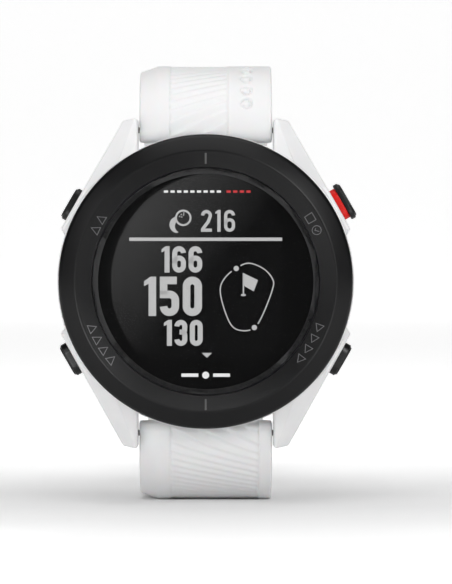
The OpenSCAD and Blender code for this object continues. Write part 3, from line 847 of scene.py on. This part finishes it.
def strapShell(v, c):
    # closed shell of one half, with what the rib tree needs stored on its points
    side, heel, thick, half = v["side"], c["heel"], c["thick"], c["half"]
    xs = acrossPoints(v, c)
    inner = [half - (half * 2) * k / 14 for k in range(15)]
    inner = sorted(set(inner + [half - 0.15, half - 0.3, -half + 0.15, -half + 0.3]), reverse=True)
    stations = strapStations(v, c)
    total = stations[-1][0]
    barY, barW = -c["barLevel"], c["barPitch"]
    verts, outward, along, across, ribbed = [], [], [], [], []

    def point(x, y, w, normal, s, rib):
        verts.append((x * mm, y * mm, side * w * mm))
        outward.append((0, normal[0], side * normal[1]))
        along.append(s)
        across.append(x)
        ribbed.append(rib)

    rows = 0
    for k in range(10):
        # the rolled end, from the side that faces the case round to both faces
        a = math.radians(90 * k / 10)
        for x in xs:
            o = outerDrop(x, c) * (k / 10) + innerDrop(x, c) * (1 - k / 10)
            n = (-math.sin(a), -math.cos(a))
            rib = 1.0 if k > 1 else 0.0
            point(x, barY + n[0] * (heel - o), barW + n[1] * (heel - o), n, -heel * (math.pi / 2 - a), rib)
        for x in inner:
            o = innerDrop(x, c)
            n = (math.sin(a), -math.cos(a))
            point(x, barY + n[0] * (heel - o), barW + n[1] * (heel - o), n, 0, 0.0)
        rows += 1
    for s, y, w, turn in stations:
        n = (-math.cos(turn), math.sin(turn))
        back = math.sqrt(max(0, heel ** 2 - s ** 2)) + 0.6 if s < heel else 0
        back = max(thick / 2, back)
        near = flat = 1.0
        if v.get("tip"):
            t = max(0.0, (s - total + v["tip"]) / v["tip"])
            near = max(0.0, 1 - t ** 2.5) ** (1 / 2.5)
            edge = max(0.0, (s - total + 0.8) / 0.8)
            flat = math.sqrt(max(0.0, 1 - edge ** 2))
        fade = min(1.0, max(0.0, (v["ribEnd"] - s) / 1.5))
        for x in xs:
            h = (thick / 2 - outerDrop(x, c)) * flat
            point(x * near, y + n[0] * h, w + n[1] * h, n, s, fade)
        for x in inner:
            h = -(back - innerDrop(x, c)) * flat
            point(x * near, y + n[0] * h, w + n[1] * h, n, s, 0.0)
        rows += 1
    if v["end"]:
        # round end over the buckle pin
        s, y, w, turn = stations[-1]
        d, n = (math.sin(turn), math.cos(turn)), (-math.cos(turn), math.sin(turn))
        for k in range(1, 11):
            a = math.radians(90 * k / 10)
            r = thick / 2 + (v["end"] - thick / 2) * math.sin(a)
            for x in xs:
                o = outerDrop(x, c) * (1 - k / 10) + innerDrop(x, c) * (k / 10)
                h, f = (r - o) * math.cos(a), (r - o) * math.sin(a)
                point(x, y + n[0] * h + d[0] * f, w + n[1] * h + d[1] * f, n, s, 0.0)
            for x in inner:
                o = innerDrop(x, c)
                h, f = -(r - o) * math.cos(a), (r - o) * math.sin(a)
                point(x, y + n[0] * h + d[0] * f, w + n[1] * h + d[1] * f, n, s, 0.0)
            rows += 1
    m = len(xs) + len(inner)
    faces = []
    for k in range(rows - 1):
        for i in range(m):
            j = (i + 1) % m
            faces.append((k * m + i, k * m + j, (k + 1) * m + j, (k + 1) * m + i))
    for k in (0, rows - 1):
        o = len(xs)
        pairs = list(range(m))
        top, bottom = pairs[:o], pairs[o:][::-1]
        # zip the two edges of an end shut
        i = j = 0
        while i < len(top) - 1 or j < len(bottom) - 1:
            step = i < len(top) - 1 and (j == len(bottom) - 1 or xs[i + 1] <= inner[::-1][j + 1])
            if step:
                faces.append((k * m + top[i], k * m + top[i + 1], k * m + bottom[j]))
                i += 1
            else:
                faces.append((k * m + top[i], k * m + bottom[j + 1], k * m + bottom[j]))
                j += 1
    mesh = bpy.data.meshes.new(v["name"])
    mesh.from_pydata(verts, [], faces)
    for name, data in (("along", along), ("across", across), ("ribbed", ribbed)):
        mesh.attributes.new(name, "FLOAT", "POINT").data.foreach_set("value", data)
    mesh.attributes.new("outward", "FLOAT_VECTOR", "POINT").data.foreach_set(
        "vector", [n for v3 in outward for n in v3])
    b = bmesh.new()
    b.from_mesh(mesh)
    bmesh.ops.remove_doubles(b, verts=b.verts, dist=0.004 * mm)
    bmesh.ops.dissolve_degenerate(b, edges=b.edges, dist=0.001 * mm)
    bmesh.ops.recalc_face_normals(b, faces=b.faces)
    b.to_mesh(mesh)
    b.free()
    mesh.materials.append(finishes["strap"])
    piece = bpy.data.objects.new(v["name"], mesh)
    bpy.context.collection.objects.link(piece)
    return piece


def ribTree():
    # presses slanted ribs and a row of dimples into a strap that carries along, across and outward
    tree = bpy.data.node_groups.new("strapRelief", "GeometryNodeTree")
    face = tree.interface
    face.new_socket("Geometry", in_out="INPUT", socket_type="NodeSocketGeometry")
    face.new_socket("Geometry", in_out="OUTPUT", socket_type="NodeSocketGeometry")
    for name in ("Rise", "Coarse", "Fine", "Fade", "Depth", "Left", "Right", "Dimple Side", "Dimple Radius",
                 "Dimple Count", "Dimple Pitch", "Dimple Start"):
        face.new_socket(name, in_out="INPUT", socket_type="NodeSocketFloat")
    face.new_socket("Material", in_out="INPUT", socket_type="NodeSocketMaterial")
    group = tree.nodes.new("NodeGroupInput")
    end = tree.nodes.new("NodeGroupOutput")

    def given(name):
        return Link(tree, group.outputs[name])

    def stored(name, kind="FLOAT"):
        node = tree.nodes.new("GeometryNodeInputNamedAttribute")
        node.data_type = kind
        node.inputs["Name"].default_value = name
        return Link(tree, node.outputs[0])

    s, x = stored("along"), stored("across")
    # the ribs are broad, steep and deep beside the case, then close up, level out and get shallow
    away = (s - 1.0).sum("MAXIMUM", 0.0) / given("Fade")
    settled = 1 - (away * -1.0).sum("EXPONENT", 0.0)
    phase = given("Coarse") * s + given("Fine") * given("Fade") * (away - settled) - x * given("Rise")
    saw = phase % 1.0
    crest = saw.sum("MINIMUM", (1 - saw) * 3.0)
    groove = (1 - crest * 1.2).sum("MAXIMUM", 0.0) * (1 - settled * 0.62)
    inside = (x > given("Left")) * (x < given("Right"))
    lip = (x - given("Left")).sum("MINIMUM", given("Right") - x) / 0.16
    lip = lip.sum("MINIMUM", 1.0).sum("MAXIMUM", 0.0)
    ribs = inside * (groove * 0.85 + 0.15) * lip * stored("ribbed")
    step = (s - given("Dimple Start")) / given("Dimple Pitch")
    nearest = step.sum("ROUND", 0.0)
    off = (step - nearest) * given("Dimple Pitch")
    side = x - given("Dimple Side")
    reach = (off * off + side * side).sum("SQRT", 0.0) / given("Dimple Radius")
    ring = 1 - ((reach - 0.78) * 4.0).sum("ABSOLUTE", 0.0).sum("MINIMUM", 1.0)
    dimple = ring * (nearest > -0.5) * (nearest < given("Dimple Count") - 0.5)
    depth = (ribs + dimple) * given("Depth") * (-mm)
    shift = tree.nodes.new("ShaderNodeVectorMath")
    shift.operation = "SCALE"
    plug(tree, shift.inputs[0], stored("outward", "FLOAT_VECTOR"))
    plug(tree, shift.inputs["Scale"], depth)
    move = tree.nodes.new("GeometryNodeSetPosition")
    plug(tree, move.inputs["Geometry"], given("Geometry"))
    tree.links.new(shift.outputs[0], move.inputs["Offset"])
    realize = addNode(tree, "GeometryNodeRealizeInstances", None, {"Geometry": Link(tree, move.outputs[0])})
    paint = addNode(tree, "GeometryNodeSetMaterial", None,
                    {"Geometry": realize, "Material": given("Material")})
    tree.links.new(paint.out, end.inputs[0])
    return tree


def runTree(piece, tree, values):
    # evaluates a tree on a piece and keeps the result as its plain mesh
    mod = piece.modifiers.new("tree", "NODES")
    mod.node_group = tree
    names = {i.name: i.identifier for i in tree.interface.items_tree if i.in_out == "INPUT"}
    for name, value in values.items():
        mod[names[name]] = value
    graph = bpy.context.evaluated_depsgraph_get()
    made = bpy.data.meshes.new_from_object(piece.evaluated_get(graph), depsgraph=graph)
    piece.modifiers.remove(mod)
    piece.data = made
    return piece


def cutOut(piece, cutters):
    # bores and slots, cut and applied
    for cutter in cutters:
        mod = piece.modifiers.new("cut", "BOOLEAN")
        mod.operation, mod.object, mod.solver = "DIFFERENCE", cutter, "EXACT"
    graph = bpy.context.evaluated_depsgraph_get()
    made = bpy.data.meshes.new_from_object(piece.evaluated_get(graph), depsgraph=graph)
    piece.modifiers.clear()
    piece.data = made
    for cutter in cutters:
        bpy.data.objects.remove(cutter)
    return piece


def prism(name, outline, at, xAxis, yAxis, zAxis, depth):
    # an outline pushed both ways along zAxis, as a cutter
    at, xAxis, yAxis, zAxis = (Vector(q) for q in (at, xAxis, yAxis, zAxis))
    verts = [(at + xAxis * x + yAxis * y + zAxis * h) * mm for h in (-depth, depth) for x, y in outline]
    n = len(outline)
    faces = [tuple(range(n)), tuple(range(2 * n - 1, n - 1, -1))]
    faces += [(i, i + n, (i + 1) % n + n, (i + 1) % n) for i in range(n)]
    return meshObject(name, verts, faces, finishes["strap"])


def slotOutline(w, h, n=10):
    x = (w - h) / 2
    return arcPoints(x, 0, h / 2, -90, 90, n) + arcPoints(-x, 0, h / 2, 90, 270, n)


def strapCutters(v, c):
    side = v["side"]
    bar = (0, -c["barLevel"], side * c["barPitch"])
    start, end, high = c["lever"]
    lever = [(start, -high), (end, -high), (end, high), (start, high)]
    cutters = [prism("boreCut", arcPoints(0, 0, c["bore"], 0, 345, 23), bar, (0, 1, 0), (0, 0, 1), (1, 0, 0),
                     c["past"]),
               prism("leverCut", lever, (0, bar[1] + 2, bar[2]), (1, 0, 0), (0, 0, 1), (0, 1, 0), 2)]
    stations = strapStations(v, c)
    if v.get("slots"):
        count, start, pitch, w, h = v["slots"]
        first = (v["bend"] - c["thick"] / 2) * math.pi / 2 + start
        for i in range(count):
            _, y, z, turn = min(stations, key=lambda q: abs(q[0] - first - i * pitch))
            d, n = (0, math.sin(turn), side * math.cos(turn)), (0, -math.cos(turn), side * math.sin(turn))
            cutters.append(prism("slotCut%d" % i, slotOutline(w, h), (0, y, side * z), (1, 0, 0), d, n, 4))
    if v["end"]:
        _, y, z, turn = stations[-1]
        d, n = Vector((0, math.sin(turn), math.cos(turn))), Vector((0, -math.cos(turn), math.sin(turn)))
        at = Vector((0, y, z))
        pin = arcPoints(0, 0, c["pinBore"], 0, 345, 23)
        cutters.append(prism("pinCut", pin, at, d, n, (1, 0, 0), c["past"]))
        half, low, high = c["notch"]
        notch = [(-half, -low), (half, -low), (half, high), (-half, high)]
        cutters.append(prism("notchCut", notch, at, (1, 0, 0), d, n, 4))
    return cutters


relief = ribTree()


def makeStrap(v, c):
    piece = strapShell(v, c)
    side, radius, count, pitch, start = v["dimples"]
    runTree(piece, relief, {
        "Rise": c["ribRise"], "Coarse": c["ribCoarse"], "Fine": c["ribFine"], "Fade": v["ribFade"],
        "Depth": c["ribDepth"], "Left": v["panel"][0],
        "Right": v["panel"][1], "Dimple Side": side, "Dimple Radius": radius, "Dimple Count": float(count),
        "Dimple Pitch": float(pitch), "Dimple Start": float(start), "Material": finishes["strap"]})
    cutOut(piece, strapCutters(v, c))
    smooth(piece, 40)
    return settle(piece, v["body"], "strap", *v["cad"])


strapUpper = makeStrap(upperHalf, strapCommon)
strapLower = makeStrap(lowerHalf, strapCommon)
print("straps made", len(strapUpper.data.polygons), len(strapLower.data.polygons))


# pieces that keep the CAD shape with their edges broken: node: (name, width in mm)
softEdges = {
    "case": ("caseShell", 0.0), "rear_cover": ("rearCover", 0.12),
    "up_button": ("buttonUp", 0.22), "down_button": ("buttonDown", 0.22), "back_button": ("buttonBack", 0.22),
    "ok_button": ("buttonOk", 0.22), "ok_collar": ("buttonOkCollar", 0.12),
    "fixed_keeper": ("keeperFixed", 0.5), "free_keeper": ("keeperFree", 0.5),
    "buckle_frame": ("buckleFrame", 0.25), "buckle_tongue": ("buckleTongue", 0.2),
    "buckle_pin": ("bucklePin", 0.1), "rear_screws": ("rearScrews", 0.05),
    "upper_spring_bar": ("springBarUpper", 0.08), "lower_spring_bar": ("springBarLower", 0.08),
    "upper_release_pin": ("releasePinUpper", 0.08), "lower_release_pin": ("releasePinLower", 0.08),
    "charging_contacts": ("contacts", 0.08), "contact_block": ("contactBlock", 0.05),
    "battery": ("batteryCell", 0.35), "vibration_motor": ("motor", 0.2),
}
for node, (name, width) in softEdges.items():
    softened(node, name, width)
print("edges broken on", len(softEdges), "pieces")


floor = {
    "near": -0.4, "far": 4.0, "half": 4.0, "high": 3.0, "sweep": 1.0, "steps": 14,
    "clear": 0.02, "fade": 0.165, "glow": 0.6,      # it glows from here on, more and more over the fade
}


def makeFloor(v):
    # pale table with a long sweep up behind
    low = cadLow.z
    near, far, high, r, n = v["near"], v["far"], v["high"], v["sweep"], v["steps"]
    outline = [(near, low), (far - r, low)]
    outline += [(far - r + r * math.sin(a), low + r - r * math.cos(a))
                for a in (math.pi / 2 * k / n for k in range(1, n + 1))]
    outline.append((far, high))
    verts = [(x, y, z) for x in (-v["half"], v["half"]) for y, z in outline]
    m = len(outline)
    faces = [(i, i + m, i + m + 1, i + 1) for i in range(m - 1)]
    f = Finish("tablePale", Specular_IOR_Level=0.1)
    paper = f.noise(3, 4)
    f.set("Base Color", f.blend(paper, (0.93, 0.93, 0.93), (0.95, 0.95, 0.95)))
    f.set("Roughness", 0.85 + 0.1 * paper)
    # painted light: the floor glows more and more away from the watch, so that it ends in plain white while
    # the shade stays near the watch
    x, y = f.axis("X"), f.axis("Y")
    away = ((x * x * 0.25 + y * y).sum("SQRT", 0.0) - v["clear"]) / v["fade"]
    away = away.sum("MAXIMUM", 0.0).sum("MINIMUM", 1.0)
    f.set("Emission Color", f.blend(away, (0, 0, 0), (v["glow"],) * 3))
    f.set("Emission Strength", 1.0)
    table = meshObject("table", verts, faces, f.material, False)
    smooth(table, 60)


world = {"ambient": 0.22, "mirrored": 0.002}       # strength as light and in reflections
lamps = {
    # name: (place, size, power, seen in reflections)
    "top": ((0.0, -0.1, 0.7), (0.6, 0.6), 2.4, True),
    "upperLeft": ((-0.42, -0.48, 0.24), (0.36, 0.36), 1.0, True),
    "right": ((0.42, -0.48, 0.24), (0.3, 0.3), 0.8, False),
    "front": ((0.0, -0.8, 0.12), (1.0, 0.6), 2.15, False),
}
glints = {
    # lamps that only reflections see, for the bright wedges round the bezel
    "upperRight": ((0.33, -0.5, 0.28), (0.32, 0.32), 3.0),
    "lowerLeft": ((-0.04, -0.068, -0.026), (0.034, 0.034), 0.034),
    "lowerRight": ((0.045, -0.067, -0.022), (0.034, 0.034), 0.012),
}
card = {
    # a round glowing card that only reflections see, for a painted reflection on the lens: it fades from its
    # upper left edge, and its edge, set off to the right, leaves a dark crescent that is a painted shadow of
    # the bezel
    "distance": 0.45, "offset": 2.2, "radius": 16.25, "reach": 16.8, "glow": 1.34, "from": 140,
}


def makeCard(v):
    spread = (view["distance"] + v["distance"]) / view["distance"]
    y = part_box("lens")[0].y - v["distance"]
    ring = arcPoints(v["offset"] * spread, 0, v["radius"] * spread, 0, 357, 119)
    f = Finish("cardGlow", Emission_Strength=1.0, Base_Color=(0, 0, 0), Specular_IOR_Level=0.0)
    a = math.radians(v["from"])
    toward = (f.axis("X") * math.cos(a) + f.axis("Z") * math.sin(a)) / (v["reach"] * spread * mm)
    level = toward.sum("MAXIMUM", 0.0) * v["glow"] / 2
    f.set("Emission Color", f.blend(level, (0, 0, 0), (2, 2, 2)))
    f.material.cycles.emission_sampling = "NONE"
    verts = [(x * mm, y, z * mm) for x, z in ring]
    piece = meshObject("reflectionCard", verts, [tuple(range(len(ring)))], f.material)
    for kind in ("camera", "diffuse", "transmission", "shadow", "volume_scatter"):
        setattr(piece, "visible_" + kind, False)


def makeLights():
    # the world is white to the eye, dim as light, and dark in reflections
    sky = bpy.data.worlds.new("world")
    sky.use_nodes = True
    tree = sky.node_tree
    back = tree.nodes["Background"]
    back.inputs[0].default_value = (1, 1, 1, 1)
    path = tree.nodes.new("ShaderNodeLightPath")
    eye, gloss = Link(tree, path.outputs["Is Camera Ray"]), Link(tree, path.outputs["Is Glossy Ray"])
    plug(tree, back.inputs[1], eye + (1 - eye) * (1 - gloss) * world["ambient"] + gloss * world["mirrored"])
    bpy.context.scene.world = sky
    for name, (place, size, power, mirrored) in lamps.items():
        lamp = areaLight(name, place, size, power)
        lamp.visible_glossy = mirrored
    for name, (place, size, power) in glints.items():
        lamp = areaLight(name, place, size, power)
        lamp.visible_camera = False
        lamp.visible_diffuse = False
        lamp.visible_transmission = False


bpy.context.scene.view_settings.view_transform = "Standard"
makeFloor(floor)
makeCard(card)
makeLights()
print("surroundings made")
